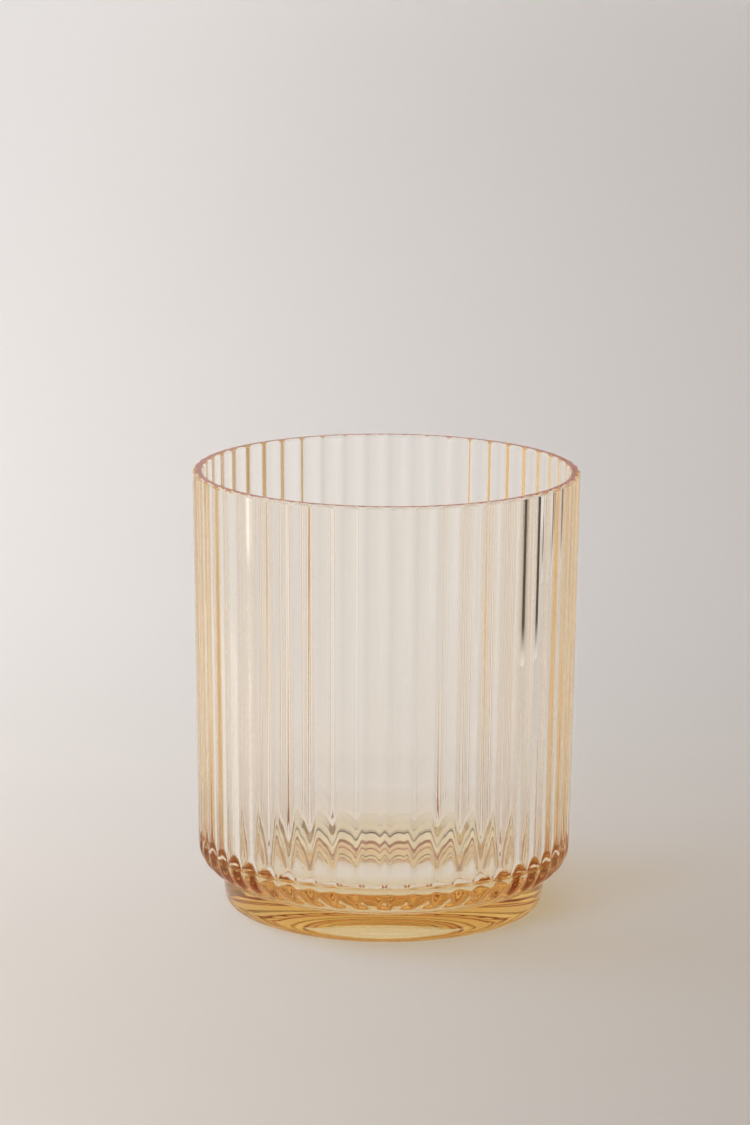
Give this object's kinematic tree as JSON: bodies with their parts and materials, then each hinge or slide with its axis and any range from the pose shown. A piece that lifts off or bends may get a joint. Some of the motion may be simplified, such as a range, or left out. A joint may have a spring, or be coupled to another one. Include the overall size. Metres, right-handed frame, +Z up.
{
  "type": "acrylic tumbler",
  "caption": "Straight-sided ribbed drinking tumbler in clear amber acrylic, smooth inside, with a rounded lower corner and a narrower smooth round foot.",
  "frame": {"origin": "centre of the foot, on the surface that the tumbler stands on", "axes": "+Z up along the tumbler's axis to the rim, +X through a rib crest"},
  "size_m": [0.085, 0.0848, 0.098],
  "materials": {
    "amber_acrylic_body": "clear, polished",
    "amber_acrylic_foot": "clear, polished"
  },
  "bodies": {
    "root": {"fluted_body": "amber_acrylic_body", "foot": "amber_acrylic_foot"}
  },
  "joints": []
}
